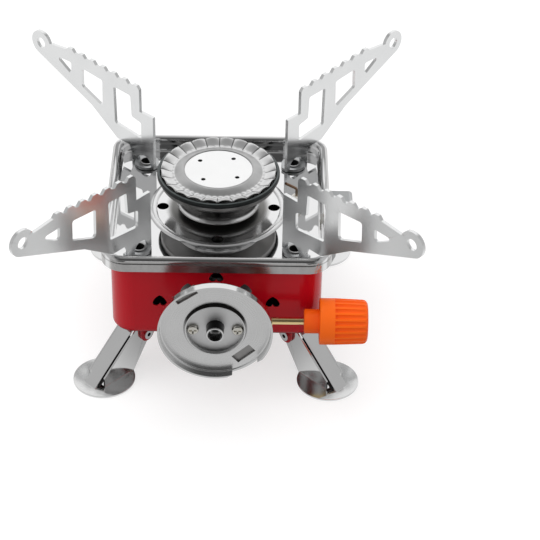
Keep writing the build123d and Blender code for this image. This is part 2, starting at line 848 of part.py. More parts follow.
with BuildPart() as nozzle_hub:
    with BuildSketch(gas_plane(dish_back - hub_shank)):
        Circle(hub_radius)
    extrude(amount=hub_shank + dish_place + hub_reach - dish_back)
    fillet(nozzle_hub.faces().sort_by(Axis.Y)[0].edges(), hub_round)
    with BuildSketch(gas_plane(dish_place + hub_reach)):
        Circle(hub_bore)
    extrude(amount=-hub_depth, mode=Mode.SUBTRACT)
    with BuildSketch(gas_plane(dish_place + hub_reach - hub_depth)):
        Circle(seal_radius + running_fit)
    extrude(amount=-seal_thickness, mode=Mode.SUBTRACT)
    with BuildSketch(gas_plane(dish_back - hub_shank)):
        Circle(hub_passage)
    extrude(amount=hub_shank + hub_reach, mode=Mode.SUBTRACT)
save(nozzle_hub, "nozzle_hub")

with BuildPart() as nozzle_seal:
    with BuildSketch(gas_plane(dish_place + hub_reach - hub_depth)):
        Circle(seal_radius)
        Circle(seal_hole, mode=Mode.SUBTRACT)
    extrude(amount=-seal_thickness)
save(nozzle_seal, "nozzle_seal")

# Needle, spindle, gland and knob
with BuildPart() as needle:
    with BuildSketch(spindle_section):
        with BuildLine():
            Polyline(
                (needle_start, 0),
                (needle_start + needle_cone, spindle_radius),
                (needle_end, spindle_radius),
                (needle_end, 0),
                close=True,
            )
        make_face()
    revolve(axis=spindle_axis)
save(needle, "needle")

with BuildPart() as spindle:
    with BuildSketch(across_plane(needle_end)):
        Circle(spindle_radius)
    extrude(amount=knob_bore_end - needle_end - flange_gap)
save(spindle, "spindle")

with BuildPart() as packing_ring:
    with BuildSketch(across_plane(boss_reach)):
        Circle(packing_radius)
        Circle(spindle_radius + running_fit, mode=Mode.SUBTRACT)
    extrude(amount=packing_length)
save(packing_ring, "packing_ring")

with BuildPart() as packing_nut:
    with BuildSketch(across_plane(boss_reach)):
        RegularPolygon(nut_flats / 2, 6, major_radius=False)
    extrude(amount=nut_length)
    with BuildSketch(across_plane(boss_reach)):
        Circle(packing_radius + running_fit)
    extrude(amount=packing_length + flange_gap, mode=Mode.SUBTRACT)
    with BuildSketch(across_plane(boss_reach)):
        Circle(spindle_radius + running_fit)
    extrude(amount=nut_length, mode=Mode.SUBTRACT)
save(packing_nut, "packing_nut")

with BuildPart() as control_knob:
    with BuildSketch(spindle_section):
        with BuildLine():
            FilletPolyline(
                (knob_start, 0),
                (knob_start, knob_neck),
                (knob_neck_end, knob_neck),
                (knob_neck_end, knob_collar),
                (knob_collar_end, knob_collar),
                (knob_end, knob_tip),
                (knob_end, 0),
                radius=[0, knob_edge, 0, knob_edge, 0, knob_round, 0],
                close=True,
            )
        make_face()
    revolve(axis=spindle_axis)
    with BuildSketch(across_plane(knob_collar_end)):
        with PolarLocations(knob_groove_place, knob_grooves):
            Circle(knob_groove_radius)
    extrude(amount=knob_end - knob_collar_end, mode=Mode.SUBTRACT)
    with BuildSketch(across_plane(knob_start)):
        Circle(spindle_radius + running_fit)
    extrude(amount=knob_bore_end - knob_start, mode=Mode.SUBTRACT)
save(control_knob, "control_knob")

# Igniter: sealed unit on a bracket behind the right side, and the lever that presses it
with BuildPart() as piezo_unit:
    with BuildSketch(Plane.XY.offset(unit_bottom)):
        with Locations((unit_inner + unit_depth / 2, lever_place)):
            RectangleRounded(unit_depth, unit_width, unit_round)
    extrude(amount=unit_top - unit_bottom)
    with BuildSketch(Plane.XY.offset(unit_top)):
        with Locations((plunger_place, lever_place)):
            Circle(plunger_radius + running_fit)
    extrude(amount=-(unit_top - plunger_bottom + lever_travel + plunger_space), mode=Mode.SUBTRACT)
save(piezo_unit, "piezo_unit")

with BuildPart() as piezo_bracket:
    inner_face = body_half - shell_wall
    with BuildSketch(right_panel.offset(-shell_wall)):
        with Locations((piezo_screw_place, unit_bottom - bracket_sheet + bracket_height / 2)):
            Rectangle(bracket_width, bracket_height)
        with Locations((piezo_screw_place, piezo_screw_height)):
            with GridLocations(piezo_screw_spread, 0, 2, 1):
                Circle(screw_shank + screw_fit, mode=Mode.SUBTRACT)
    extrude(amount=-bracket_sheet)
    with BuildSketch(Plane.XY.offset(unit_bottom - bracket_sheet)):
        with Locations((inner_face - bracket_shelf / 2, lever_place)):
            Rectangle(bracket_shelf, unit_width)
    extrude(amount=bracket_sheet)
save(piezo_bracket, "piezo_bracket")

with BuildPart() as piezo_lever:
    with BuildSketch(Plane.XZ.offset(-lever_place)):
        with BuildLine():
            FilletPolyline(
                (lever_inner, lever_bottom),
                (lever_reach - lever_sheet, lever_bottom),
                (lever_reach - lever_sheet, lever_top - lever_lip),
                (lever_reach, lever_top - lever_lip),
                (lever_reach, lever_top),
                (lever_inner, lever_top),
                radius=[0, lever_bend, 0, 0, lever_bend + lever_sheet, 0],
                close=True,
            )
        make_face()
    extrude(amount=lever_width / 2, both=True)
    with BuildSketch(Plane.XY.offset(plunger_bottom)):
        with Locations((plunger_place, lever_place)):
            Circle(plunger_radius)
    extrude(amount=lever_bottom - plunger_bottom)
save(piezo_lever, "piezo_lever")

# Ignition lead, in the upright plane through the electrode: out of the unit, up and into the insulator
with BuildPart() as ignition_wire:
    lead_start = lever_place - unit_width / 2
    with BuildLine(Plane(origin=(electrode_x, 0, 0), x_dir=(0, 1, 0), z_dir=(1, 0, 0))) as lead_path:
        FilletPolyline(
            (lead_start, lead_height),
            (electrode_y - lead_swing, lead_height),
            (electrode_y - lead_swing, lead_height + lead_rise),
            (electrode_y, lead_height + lead_rise + lead_return),
            (electrode_y, insulator_bottom),
            radius=lead_bend,
        )
    with BuildSketch(Plane(origin=(electrode_x, lead_start, lead_height), x_dir=(1, 0, 0), z_dir=(0, -1, 0))):
        Circle(lead_radius)
    sweep(path=lead_path.wires()[0])
save(ignition_wire, "ignition_wire")

with BuildPart() as electrode_insulator:
    for bottom, top, radius in (
        (insulator_bottom, insulator_top, insulator_radius),
        (tray_floor, tray_floor + insulator_collar_height, insulator_collar),
    ):
        with BuildSketch(Plane.XY.offset(bottom)):
            with Locations((electrode_x, electrode_y)):
                Circle(radius)
        extrude(amount=top - bottom)
    fillet(electrode_insulator.faces().sort_by(Axis.Z)[-1].edges(), insulator_round)
    with BuildSketch(Plane.XY.offset(insulator_bottom + insulator_floor)):
        with Locations((electrode_x, electrode_y)):
            Circle(electrode_radius + running_fit)
    extrude(amount=insulator_top - insulator_bottom, mode=Mode.SUBTRACT)
save(electrode_insulator, "electrode_insulator")

with BuildPart() as electrode:
    with BuildLine() as wire_path:
        FilletPolyline(
            (electrode_x, electrode_y, insulator_bottom + insulator_floor),
            (electrode_x, electrode_y, electrode_top),
            electrode_tip,
            radius=electrode_bend,
        )
    with BuildSketch(Plane.XY.offset(insulator_bottom + insulator_floor)):
        with Locations((electrode_x, electrode_y)):
            Circle(electrode_radius)
    sweep(path=wire_path.wires()[0])
save(electrode, "electrode")


def leg(angle):
    """A leg folded from sheet: a sloping web, two standing walls with a slit beside it, and a round foot."""
    direction = outward(angle)
    left = outward(angle + 90)
    wall_place = leg_half - leg_sheet / 2
    web_drop = leg_sheet / cos(leg_slope)
    slit_end_height = (leg_tip_reach - leg_slit_end) * sin(leg_slope) / cos(leg_slope)
    foot_back = foot_reach - sqrt(foot_radius**2 - leg_half**2)
    with BuildPart() as piece:
        with BuildSketch(upright_plane(Vector(0, 0, 0), direction)):
            with BuildLine():
                Polyline(
                    (leg_tip_reach, 0),
                    (leg_top_reach, leg_top_height),
                    (leg_top_reach, leg_top_height - web_drop),
                    (leg_tip_reach - web_drop * cos(leg_slope) / sin(leg_slope), 0),
                    close=True,
                )
            make_face()
        extrude(amount=leg_web / 2, both=True)
        for side in (-1, 1):
            with BuildSketch(upright_plane(left * side * wall_place, direction)):
                with BuildLine():
                    Polyline(
                        (leg_slit_end, 0),
                        (leg_slit_end, slit_end_height),
                        (leg_top_reach, leg_top_height),
                        (leg_hinge_reach, leg_hinge_height + leg_eye),
                        (leg_hinge_reach - leg_eye, leg_hinge_height),
                        (foot_back, 0),
                        close=True,
                    )
                make_face()
                with Locations((leg_hinge_reach, leg_hinge_height)):
                    Circle(leg_eye)
                    Circle(leg_rivet_radius + running_fit, mode=Mode.SUBTRACT)
            extrude(amount=leg_sheet / 2, both=True)
        bridge_face = leg_top_height - leg_sheet / 2
        with BuildSketch(upright_plane(Vector(0, 0, 0), direction)):
            with Locations((leg_top_reach - leg_bridge / 2, bridge_face)):
                Rectangle(leg_bridge, leg_sheet)
        extrude(amount=leg_half, both=True)
        with BuildSketch(Plane(origin=(0, 0, 0), x_dir=direction, z_dir=(0, 0, 1))):
            with Locations((foot_reach, 0)):
                Circle(foot_radius)
            with Locations(((foot_back - leg_web + leg_slit_end) / 2, 0)):
                channel = leg_slit_end - foot_back + leg_web
                Rectangle(channel, leg_web + 2 * leg_slit, mode=Mode.SUBTRACT)
        extrude(amount=leg_sheet)
    return piece


for corner, (angle, hand, turn) in corners.items():
    save(leg(angle), f"leg_{corner}")

# Rivets through the ears, one across each leg
with BuildPart() as leg_rivets:
    for angle, hand, turn in corners.values():
        hinge = outward(angle) * leg_hinge_reach + Vector(0, 0, leg_hinge_height)
        ear_outside = leg_half + ear_gap + ear_sheet
        across = Plane(origin=hinge, x_dir=outward(angle), z_dir=outward(angle - 90))
        with BuildSketch(across):
            Circle(leg_rivet_radius)
        extrude(amount=ear_outside, both=True)
        for side in (-1, 1):
            with BuildSketch(across.offset(side * ear_outside)):
                Circle(leg_rivet_head)
            extrude(amount=side * leg_rivet_head_height)
        with BuildSketch(across):
            Circle(leg_rivet_hole)
        extrude(amount=ear_outside + leg_rivet_head_height, both=True, mode=Mode.SUBTRACT)
save(leg_rivets, "leg_rivets")
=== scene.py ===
"""A folding camp stove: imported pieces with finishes, some with finer shapes, lit on a white table."""

import math

import bpy
from mathutils import Matrix, Vector


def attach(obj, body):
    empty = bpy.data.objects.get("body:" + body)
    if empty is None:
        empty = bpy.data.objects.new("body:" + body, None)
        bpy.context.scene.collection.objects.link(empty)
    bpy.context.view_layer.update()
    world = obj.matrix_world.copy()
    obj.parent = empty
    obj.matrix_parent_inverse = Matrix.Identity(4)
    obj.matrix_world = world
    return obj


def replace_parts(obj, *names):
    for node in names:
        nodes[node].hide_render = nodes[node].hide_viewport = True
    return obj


bpy.ops.wm.read_factory_settings(use_empty=True)
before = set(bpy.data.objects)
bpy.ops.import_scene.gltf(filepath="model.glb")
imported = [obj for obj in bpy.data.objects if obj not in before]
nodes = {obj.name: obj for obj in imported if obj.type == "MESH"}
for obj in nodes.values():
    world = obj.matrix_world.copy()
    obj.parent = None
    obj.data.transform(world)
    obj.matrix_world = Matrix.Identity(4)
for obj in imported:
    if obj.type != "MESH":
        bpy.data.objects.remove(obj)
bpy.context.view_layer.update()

MM = 0.001

# Places on the stove, in millimetres

DISH_FACE = -62.5
DISH_SHEET = 0.8
GAS_HEIGHT = 39.75
SPINDLE_PLACE = -51.5
SPINDLE_HEIGHT = 35.5
PAN_FLAT = 34  # half the straight part of each side
PAN_CORNER = 9.5
PAN_FLOOR = 21.8
PIVOT = 32  # of each support, out from the middle both ways
BEAD = 27.75  # radius of the ring pressed into the tray
FLUTES = 24
LEG_TOP = (52.6, 20.6)  # out from the middle, and up
LEG_TIP = (75.6, 0.0)
WEB_HALF = 3.25
WALL_HALF = 4.15
LEGS = {  # each leg's angle, and the side of its web that has the open slit
    "leg_front_right": (-45, -1),
    "leg_back_right": (45, 1),
    "leg_back_left": (135, -1),
    "leg_front_left": (225, 1),
}
SUPPORTS = [name for name in nodes if name.startswith("support_")]

# Axes, in metres: a point on each, and the directions across it

BURNER_AXIS = ((0, 0, 0), (1, 1, 0))
INLET_AXIS = ((0, DISH_FACE * MM, GAS_HEIGHT * MM), (1, 0, 1))
KNOB_AXIS = ((0, SPINDLE_PLACE * MM, SPINDLE_HEIGHT * MM), (0, 1, 1))


# Node building


def grey(level):
    """A colour with its three parts the same."""
    return level, level, level


class Value:
    """What one socket gives. Arithmetic on it adds Math nodes to its own node tree."""

    def __init__(self, wiring, socket):
        self.wiring = wiring
        self.socket = socket

    def math(self, operation, *others):
        return self.wiring.node("ShaderNodeMath", {"operation": operation}, [self, *others])

    def __add__(self, other):
        return self.math("ADD", other)

    __radd__ = __add__

    def __mul__(self, other):
        return self.math("MULTIPLY", other)

    __rmul__ = __mul__

    def __sub__(self, other):
        return self.math("SUBTRACT", other)

    def __rsub__(self, other):
        return self.wiring.node("ShaderNodeMath", {"operation": "SUBTRACT"}, [other, self])

    def __abs__(self):
        return self.math("ABSOLUTE")

    def hypot(self, other):
        """The length across two sides at a right angle."""
        return (self * self + other * other).math("SQRT")

    def above(self, low, high):
        """0 below low, 1 above high, and a smooth step between them."""
        settings = {"interpolation_type": "SMOOTHSTEP"}
        return self.wiring.node("ShaderNodeMapRange", settings, {"Value": self, 1: low, 2: high})

    def past(self, low, high):
        """The same step for a length, with its two ends in millimetres."""
        return self.above(low * MM, high * MM)


class Wiring:
    """A node tree, and the one method that adds nodes to it."""

    def __init__(self, tree):
        self.tree = tree

    def node(self, kind, settings=None, inputs=(), output=0):
        made = self.tree.nodes.new(kind)
        for name, setting in (settings or {}).items():
            setattr(made, name, setting)
        for key, value in inputs.items() if isinstance(inputs, dict) else enumerate(inputs):
            self.feed(made.inputs[key], value)
        return Value(self, made.outputs[output])

    def feed(self, socket, value):
        if isinstance(value, Value):
            self.tree.links.new(value.socket, socket)
        else:
            socket.default_value = value

    def axes(self, vector):
        """The three numbers of a vector."""
        return [self.node("ShaderNodeSeparateXYZ", None, [vector], axis) for axis in range(3)]


class Finish(Wiring):
    """A material on one Principled shader, in the stove's coordinates. Sizes are in millimetres."""

    def __init__(self, name, **constants):
        self.material = bpy.data.materials.new(name)
        self.material.use_nodes = True
        super().__init__(self.material.node_tree)
        self.shader = self.tree.nodes["Principled BSDF"]
        self.place = self.node("ShaderNodeTexCoord", None, (), "Object")
        self.give(**constants)

    def give(self, **inputs):
        """Feed the shader's inputs, named with underscores for spaces."""
        for name, value in inputs.items():
            self.feed(self.shader.inputs[name.replace("_", " ")], value)

    def vector(self, operation, first, second):
        """Two vectors put together, number by number."""
        return self.node("ShaderNodeVectorMath", {"operation": operation}, [first, second])

    def noise(self, size, stretch=(1, 1, 1), detail=2):
        """Clouds of about one size, from 0 to 1, finer along the axes that are stretched."""
        where = self.vector("MULTIPLY", self.place, stretch)
        inputs = {"Vector": where, "Scale": 1 / (size * MM), "Detail": detail}
        return self.node("ShaderNodeTexNoise", None, inputs)

    def lines(self, along, size):
        """Fine lines that differ along one number, about one size apart."""
        inputs = {"W": along, "Scale": 1 / (size * MM), "Detail": 3}
        return self.node("ShaderNodeTexNoise", {"noise_dimensions": "1D"}, inputs)

    def distance(self, axis):
        """The distance from an axis."""
        point, directions = axis
        offset = self.vector("MULTIPLY", self.vector("SUBTRACT", self.place, point), directions)
        return self.node("ShaderNodeVectorMath", {"operation": "LENGTH"}, [offset], "Value")

    def mix(self, share, first, second):
        """A colour between two."""
        ends = [value if isinstance(value, Value) else (*value, 1) for value in (first, second)]
        return self.node("ShaderNodeMix", {"data_type": "RGBA"}, {0: share, 6: ends[0], 7: ends[1]}, 2)

    def bump(self, height, depth):
        """Raise the surface by height, from 0 to 1, times depth."""
        self.give(Normal=self.node("ShaderNodeBump", None, {"Height": height, "Distance": depth * MM}))


class Spun(Finish):
    """Satin steel with fine rings round an axis."""

    def __init__(self, name, axis):
        super().__init__(name, Metallic=1.0)
        self.reach = self.distance(axis)
        self.rings = self.lines(self.reach, 0.25)
        self.bump(self.rings, 0.006)

    def satin(self, roughness):
        self.give(Roughness=roughness + 0.14 * self.rings)
        return self

    def clouded(self, light, dark):
        self.give(Base_Color=self.mix(self.noise(10, detail=3), grey(light), grey(dark)))
        return self


# Finishes


def red_enamel():
    """Gloss enamel with a faint orange-peel skin, darker towards the bottom edge, and painted black shade
    inside the pan.
    """
    finish = Finish("red_enamel", Coat_Weight=0.06, Coat_Roughness=0.06, Specular_IOR_Level=0.2)
    across, along, height = finish.axes(finish.place)
    clouds = finish.noise(30)
    lower_edge = 1 - height.past(22, 27)
    enamel = finish.mix(clouds * 0.5 + lower_edge * 0.5, (0.56, 0.004, 0.014), (0.44, 0.003, 0.010))
    side = (abs(across) - PAN_FLAT * MM).math("MAXIMUM", 0.0)
    front = (abs(along) - PAN_FLAT * MM).math("MAXIMUM", 0.0)
    outside = side.hypot(front).past(PAN_CORNER - 0.5, PAN_CORNER - 0.3)
    # painted shade: the inside of the pan is coloured black
    shaded_inside = (1 - outside) * height.past(PAN_FLOOR, PAN_FLOOR + 0.2)
    finish.give(Base_Color=finish.mix(shaded_inside, enamel, (0.010, 0.009, 0.009)))
    finish.give(Roughness=0.16 + 0.10 * finish.noise(6) + 0.4 * shaded_inside)
    finish.bump(finish.noise(1.1), 0.010)
    return finish


def mirror_steel():
    """Polished stainless steel with faint handling smears and rolling marks."""
    finish = Finish("mirror_steel", Metallic=1.0)
    smears = finish.noise(14, detail=4)
    rolled = finish.noise(4, (1, 14, 14))
    finish.give(Base_Color=finish.mix(smears, grey(0.78), (0.70, 0.70, 0.705)))
    finish.give(Roughness=0.04 + 0.04 * smears + 0.015 * rolled)
    finish.bump(finish.noise(9), 0.010)
    return finish


def hub_steel():
    """The inlet tube: bright at its mouth, with a painted dark reflection along its outside."""
    finish = Finish("hub_steel", Metallic=1.0)
    along = finish.axes(finish.place)[1]
    # painted reflection: the tube's outside is coloured almost black
    dark_reflection_wall = finish.distance(INLET_AXIS).past(3.3, 3.5) * along.past(-66.9, -66.5)
    smears = finish.noise(3, detail=4)
    finish.give(Base_Color=finish.mix(dark_reflection_wall, grey(0.78), grey(0.03)))
    finish.give(Roughness=0.06 + 0.06 * smears + 0.2 * dark_reflection_wall)
    finish.bump(smears, 0.01)
    return finish


def rivet_steel():
    """Bright rivets, with painted black shade down their bores."""
    finish = Finish("rivet_steel")
    across, along = finish.axes(finish.place)[:2]
    face = (abs(across) - PIVOT * MM).hypot(abs(along) - PIVOT * MM).past(2.3, 2.5)
    scuffs = finish.noise(0.8, detail=3)
    # painted shade: the bores are coloured black
    finish.give(Metallic=face, Base_Color=finish.mix(face, grey(0.006), grey(0.42)))
    finish.give(Roughness=0.7 - face * (0.38 - 0.15 * scuffs))
    finish.bump(scuffs, 0.01)
    return finish


def drawn_steel():
    """The tray: a polished floor with a painted dark reflection in the middle, and a rougher skirt with
    crinkled corners, painted darker as shade.
    """
    finish = Finish("drawn_steel", Metallic=1.0)
    smears = finish.noise(14, detail=4)
    scuffs = finish.noise(2.2, (1, 1, 0.5), detail=5)
    across, along, height = finish.axes(finish.place)
    edge = abs(across).math("MAXIMUM", abs(along)).past(44.5, 45.5)
    skirt = edge * (1 - height.past(60.6, 61.4))
    rim = edge * (1 - skirt)
    corner = abs(across).math("MINIMUM", abs(along)).past(33, 39)
    crinkles = corner * skirt * finish.noise(1.6, (1, 1, 0.45), detail=3)
    reach = finish.distance(BURNER_AXIS)
    bead = 1 - abs(reach - BEAD * MM).past(1.2, 1.9)
    middle = 1 - reach.past(BEAD - 3, BEAD - 2)
    # painted reflection: the middle of the floor is darkened where the burner's underside would mirror
    burner_reflection = 1 - reach.past(19, 23)
    polished = finish.mix(smears, grey(0.80), (0.74, 0.74, 0.745))
    # painted shade: the skirt, and half as much the rim, take a darker grey than the floor, with real
    # scuffs
    scuffs_and_shade = finish.mix(scuffs, (0.54, 0.535, 0.53), (0.42, 0.415, 0.41))
    bright = finish.mix(0.8 * burner_reflection, polished, (0.10, 0.095, 0.085))
    finish.give(Base_Color=finish.mix(skirt + 0.5 * rim, bright, scuffs_and_shade))
    floor = 0.02 + 0.035 * smears + 0.20 * bead + 0.06 * middle + 0.25 * burner_reflection
    finish.give(Roughness=floor + 0.10 * rim + skirt * (0.12 + 0.12 * scuffs))
    finish.bump(crinkles + 0.02 * finish.noise(9), 0.4)
    return finish


def punched_sheet():
    """Bright cold-rolled sheet with streaks along the strip, duller on the tabs under the rivets, which are
    painted darker as shade.
    """
    finish = Finish("punched_sheet", Metallic=1.0)
    streaks = finish.noise(8, (1, 1, 16), detail=4)
    clouds = finish.noise(12)
    blade = finish.axes(finish.place)[2].past(57.7, 60)
    bright = finish.mix(clouds, (0.81, 0.815, 0.815), (0.74, 0.747, 0.75))
    # painted shade: the tabs below the blades take a darker grey
    finish.give(Base_Color=finish.mix(blade, (0.50, 0.51, 0.515), bright))
    finish.give(Roughness=0.30 - 0.13 * blade + 0.08 * streaks)
    finish.bump(streaks, 0.004)
    return finish


def leg_steel():
    """Polished strip, slightly wavy from folding."""
    finish = Finish("leg_steel", Metallic=1.0)
    waves = finish.noise(16)
    finish.give(Base_Color=finish.mix(waves, grey(0.75), grey(0.67)))
    finish.give(Roughness=0.06 + 0.06 * finish.noise(5, detail=4))
    finish.bump(waves, 0.05)
    return finish


def spun_dish():
    """The cartridge's dish: satin, with a polished lip and a duller middle."""
    finish = Spun("spun_dish", INLET_AXIS).clouded(0.76, 0.68)
    middle = 1 - finish.reach.past(11.3, 11.9)
    lip = finish.reach.past(21.6, 22.2)
    return finish.satin(0.2 + 0.25 * middle - 0.14 * lip)


def stepped_steel():
    """The step round the dish's middle: satin on top, with painted shade down its outer slope above the
    inlet.
    """
    finish = Spun("stepped_steel", INLET_AXIS)
    slope = finish.reach.past(12.1, 12.25)
    upper = finish.axes(finish.place)[2].past(41, 46)
    satin = finish.mix(finish.noise(6), grey(0.76), grey(0.68))
    # painted shade: the outer slope is coloured almost black, fully above the inlet and partly elsewhere
    finish.give(Base_Color=finish.mix(slope * (0.3 + 0.7 * upper), satin, (0.02, 0.019, 0.018)))
    return finish.satin(0.2)


def pressed_crown():
    """The flame ring: a grey skirt, and satin flutes with a painted shade line down the fold between each
    two.
    """
    finish = Spun("pressed_crown", BURNER_AXIS)
    across, along = finish.axes(finish.place)[:2]
    turn = along.math("ARCTAN2", across) * (FLUTES / (2 * math.pi))
    # painted shade: a dark line down each fold between flutes
    crease_shade = 1 - (0.5 - abs(turn.math("FRACT") - 0.5)).above(0.02, 0.06)
    fluted = finish.reach.past(19.2, 19.9)
    beaded = finish.reach.past(18.2, 18.7)
    skirt = finish.mix(finish.noise(5, detail=4), grey(0.52), grey(0.38))
    flutes = finish.mix(crease_shade * fluted * 0.85, grey(0.72), grey(0.06))
    finish.give(Base_Color=finish.mix(beaded, skirt, flutes))
    return finish.satin(0.26)


def rolled_foot():
    """The burner's foot: painted dark as shade, with a painted highlight on the roll at its lower edge and
    a weaker one on the shoulder.
    """
    finish = Spun("rolled_foot", BURNER_AXIS)
    height = finish.axes(finish.place)[2]
    roll = height.past(58.2, 58.5) * (1 - height.past(59.9, 60.6))
    shoulder = height.past(64.2, 65.0)
    # painted shade on the foot, and painted highlights on the roll and, half as much, the shoulder
    foot_shade = finish.mix(finish.noise(4, detail=4), grey(0.10), (0.16, 0.155, 0.15))
    finish.give(Base_Color=finish.mix(roll + 0.5 * shoulder, foot_shade, grey(0.86)))
    return finish.satin(0.12)


def blackened_steel():
    """Black oxide, with a thin painted highlight along its upper edge."""
    finish = Finish("blackened_steel", Specular_IOR_Level=0.35)
    height = finish.axes(finish.place)[2]
    # painted highlight: a lighter line along the top edge
    top_highlight = height.past(74.35, 74.6) * (0.4 + 0.6 * finish.noise(3, detail=4))
    finish.give(Base_Color=finish.mix(top_highlight, (0.006, 0.008, 0.008), (0.10, 0.115, 0.115)))
    finish.give(Roughness=0.25 + 0.2 * finish.noise(2, detail=4))
    finish.bump(finish.noise(0.8), 0.01)
    return finish


def heated_and_shaded_steel():
    """Burner steel darkened by heat, and darker still as painted shade where it is seen through holes and
    slots, with fine turning rings.
    """
    finish = Finish("heated_and_shaded_steel", Metallic=1.0)
    rings = finish.lines(finish.distance(BURNER_AXIS), 0.3)
    clouds = finish.noise(6, detail=4)
    # dark grey: heat on the burner cup, painted shade on the mixing tube, locknut and tongues
    finish.give(Base_Color=finish.mix(clouds, (0.36, 0.355, 0.35), (0.26, 0.255, 0.25)))
    finish.give(Roughness=0.30 + 0.12 * rings)
    finish.bump(rings, 0.008)
    return finish


def turned_brass():
    """Lathe-turned brass with fine lines round it and a little tarnish."""
    finish = Finish("turned_brass", Metallic=1.0)
    across = finish.axes(finish.place)[0]
    marks = finish.lines(across, 0.3)
    tarnish = finish.noise(7, detail=4)
    finish.give(Base_Color=finish.mix(tarnish, (0.95, 0.76, 0.42), (0.82, 0.60, 0.28)))
    finish.give(Roughness=0.16 + 0.12 * marks)
    finish.bump(marks, 0.006)
    return finish


def knob_plastic():
    """Moulded orange plastic, finely sparked, with paler rib tops."""
    finish = Finish("knob_plastic", Specular_IOR_Level=0.2)
    crest = finish.distance(KNOB_AXIS).past(8.5, 9.5)
    paler = crest * 0.6 + finish.noise(9) * 0.4
    finish.give(Base_Color=finish.mix(paler, (0.94, 0.11, 0.003), (1.0, 0.155, 0.006)))
    finish.give(Roughness=0.36 + 0.12 * finish.noise(0.5))
    finish.bump(finish.noise(0.35), 0.012)
    return finish


def plated_screw():
    """Zinc plating with the yellow cast of passivation in patches."""
    finish = Finish("plated_screw", Metallic=1.0)
    cast = finish.noise(1.8, detail=3)
    finish.give(Base_Color=finish.mix(cast, (0.72, 0.72, 0.71), (0.66, 0.62, 0.52)))
    finish.give(Roughness=0.14 + 0.14 * finish.noise(0.7))
    finish.bump(cast, 0.01)
    return finish


def dull_black(name, light, dark, roughness):
    """Black rubber, plastic or shaded steel with a fine matt skin."""
    finish = Finish(name)
    skin = finish.noise(0.6, detail=3)
    finish.give(Base_Color=finish.mix(finish.noise(5), light, dark))
    finish.give(Roughness=roughness + 0.15 * skin)
    finish.bump(skin, 0.02)
    return finish


def glazed_ceramic():
    """Off-white ceramic with fine specks under the glaze."""
    finish = Finish("glazed_ceramic", Coat_Weight=0.6, Coat_Roughness=0.08)
    specks = finish.noise(0.5).above(0.62, 0.72)
    finish.give(Base_Color=finish.mix(specks, (0.82, 0.80, 0.75), (0.55, 0.52, 0.46)))
    finish.give(Roughness=0.3 + 0.1 * finish.noise(2))
    finish.bump(finish.noise(1.5), 0.01)
    return finish


def heated_wire():
    """Spark wire browned by heat towards its tip."""
    finish = Finish("heated_wire", Metallic=1.0)
    heat = finish.axes(finish.place)[2].past(60, 68)
    patches = finish.noise(1.5, detail=3)
    browned = heat * (0.7 + 0.3 * patches)
    finish.give(Base_Color=finish.mix(browned, (0.45, 0.36, 0.28), (0.20, 0.10, 0.05)))
    finish.give(Roughness=0.3 + 0.2 * patches)
    finish.bump(patches, 0.02)
    return finish


LEG = leg_steel()
HEATED_AND_SHADED = heated_and_shaded_steel()
SHADE = dull_black("shaded_steel", (0.010, 0.009, 0.009), (0.018, 0.016, 0.016), 0.5)
finishes = {
    red_enamel(): ["body_shell"],
    mirror_steel(): ["leg_rivets"],
    hub_steel(): ["nozzle_hub"],
    rivet_steel(): ["pivot_rivets"],
    HEATED_AND_SHADED: ["burner_cup", "mixing_tube", "burner_locknut"],
    drawn_steel(): ["drip_tray"],
    punched_sheet(): [*SUPPORTS, "piezo_lever", "piezo_bracket"],
    LEG: [*LEGS],
    spun_dish(): ["connector_dish"],
    Spun("spun_cap", BURNER_AXIS).satin(0.16).clouded(0.90, 0.84): ["burner_cap"],
    Spun("spun_inside", BURNER_AXIS).satin(0.2).clouded(0.62, 0.55): ["pivot_washers", "valve_body"],
    turned_brass(): ["spindle", "needle", "packing_nut", "gas_jet"],
    knob_plastic(): ["control_knob"],
    plated_screw(): ["dish_screws", "valve_screws", "piezo_screws"],
    dull_black("black_rubber", grey(0.018), grey(0.03), 0.55): [
        "nozzle_seal", "packing_ring", "ignition_wire",
    ],
    dull_black("black_plastic", (0.02, 0.02, 0.022), grey(0.035), 0.4): ["piezo_unit"],
    glazed_ceramic(): ["electrode_insulator"],
    heated_wire(): ["electrode"],
}
for finish, names in finishes.items():
    for name in names:
        nodes[name].data.materials.clear()
        nodes[name].data.materials.append(finish.material)


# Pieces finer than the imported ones, in millimetres

ROUND = 192  # steps round a turned piece
FLUTE_STEPS = 14  # steps across each flute of the flame crown
RING_SECTION = (
    (24.0, 72.4), (25.2, 72.4), (25.5, 72.6), (25.7, 72.9), (25.7, 73.9),
    (25.55, 74.3), (25.2, 74.55), (24.7, 74.6), (24.35, 74.4), (24.2, 73.9),
)
FOOT_SECTION = (
    (5.0, 50.5), (6.6, 50.5), (6.6, 56.0), (12.6, 56.05), (12.8, 57.2), (13.4, 57.8),
    (16.2, 58.1), (16.9, 58.25), (17.35, 58.6), (17.5, 59.1), (17.35, 59.6), (16.9, 60.0),
    (16.5, 60.6), (16.35, 61.4), (16.4, 63.6), (16.6, 64.4), (17.2, 65.1), (19.0, 66.9),
    (18.9, 67.1), (18.6, 67.1), (10.4, 62.9), (8.2, 62.8), (8.2, 63.2), (5.0, 63.2),
)
STEP_SECTION = (
    (11.6, 62.2), (12.95, 62.2), (12.9, 62.6), (12.4, 63.9),
    (12.2, 64.15), (11.95, 64.2), (11.7, 64.1), (11.6, 63.8),
)
